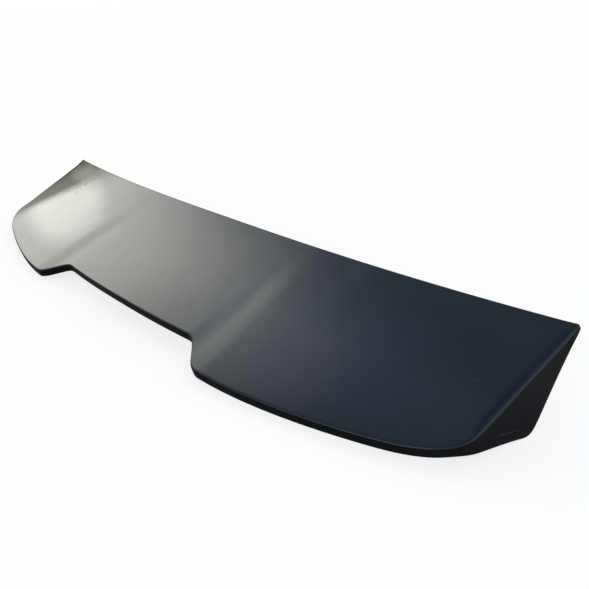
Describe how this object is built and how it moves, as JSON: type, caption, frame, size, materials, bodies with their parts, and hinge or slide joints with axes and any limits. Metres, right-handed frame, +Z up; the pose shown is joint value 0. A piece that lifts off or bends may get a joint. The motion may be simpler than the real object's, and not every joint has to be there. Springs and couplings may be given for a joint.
{
  "type": "roof spoiler",
  "caption": "Moulded black roof spoiler: a wide bowed skin with a recessed middle in its rear edge, rounded lobes and folded-down side faces.",
  "frame": {"origin": "middle of the span and of the depth, on the surface the part stands on", "axes": "+X along the span to the right, +Y forwards to the leading edge, +Z up"},
  "size_m": [1.2012, 0.2818, 0.1077],
  "materials": {
    "body": "satin gloss black"
  },
  "bodies": {
    "root": {"spoiler": "body"}
  },
  "joints": []
}
